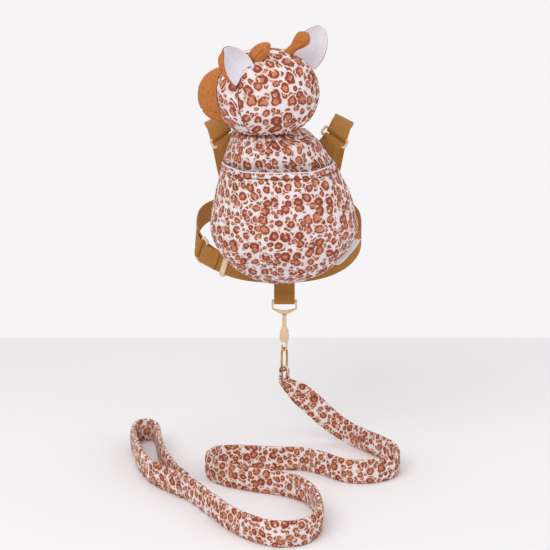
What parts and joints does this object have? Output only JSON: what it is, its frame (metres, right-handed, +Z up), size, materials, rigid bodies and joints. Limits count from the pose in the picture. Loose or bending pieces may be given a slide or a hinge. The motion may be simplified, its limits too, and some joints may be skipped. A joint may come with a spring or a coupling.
{
  "type": "toddler harness backpack",
  "caption": "Plush giraffe backpack with webbing shoulder and waist straps and a clipped padded walking lead ending in a hand loop.",
  "frame": {"origin": "middle of the flat back panel, where the bag lies against the wearer's back", "axes": "+Z up as worn, +Y out of the back panel into the wearer's back, +X to the right as the bag is seen from behind the wearer"},
  "size_m": [0.3229, 0.4823, 0.5112],
  "materials": {
    "spotted_plush": "short-pile plush with rust rosettes on a pale ground",
    "caramel_plush": "short-pile caramel plush",
    "ear_plush": "short-pile white plush",
    "webbing": "ribbed webbing",
    "plastic": "satin moulded plastic",
    "gold": "polished plated metal",
    "label": "plain woven label"
  },
  "bodies": {
    "root": {"back_panel": "spotted_plush", "upper_panel": "spotted_plush", "pocket_panel": "spotted_plush", "side_label": "label", "head": "spotted_plush", "muzzle": "caramel_plush", "ear_left": "caramel_plush", "ear_lining_left": "ear_plush", "horn_left": "caramel_plush", "ear_right": "caramel_plush", "ear_lining_right": "ear_plush", "horn_right": "caramel_plush", "shoulder_ring_left": "plastic", "shoulder_strap_left": "webbing", "bag_strap_left": "webbing", "shoulder_ring_right": "plastic", "shoulder_strap_right": "webbing", "bag_strap_right": "webbing", "waist_ring": "plastic", "waist_strap": "webbing", "adjuster_strap": "webbing", "tail_keeper": "plastic", "tether_tab": "webbing", "hook_frame": "plastic", "hook_body": "plastic", "hook_tongue": "plastic", "lead_ring": "gold", "lead_end": "spotted_plush", "lead": "spotted_plush", "hand_loop": "spotted_plush"}
  },
  "joints": []
}
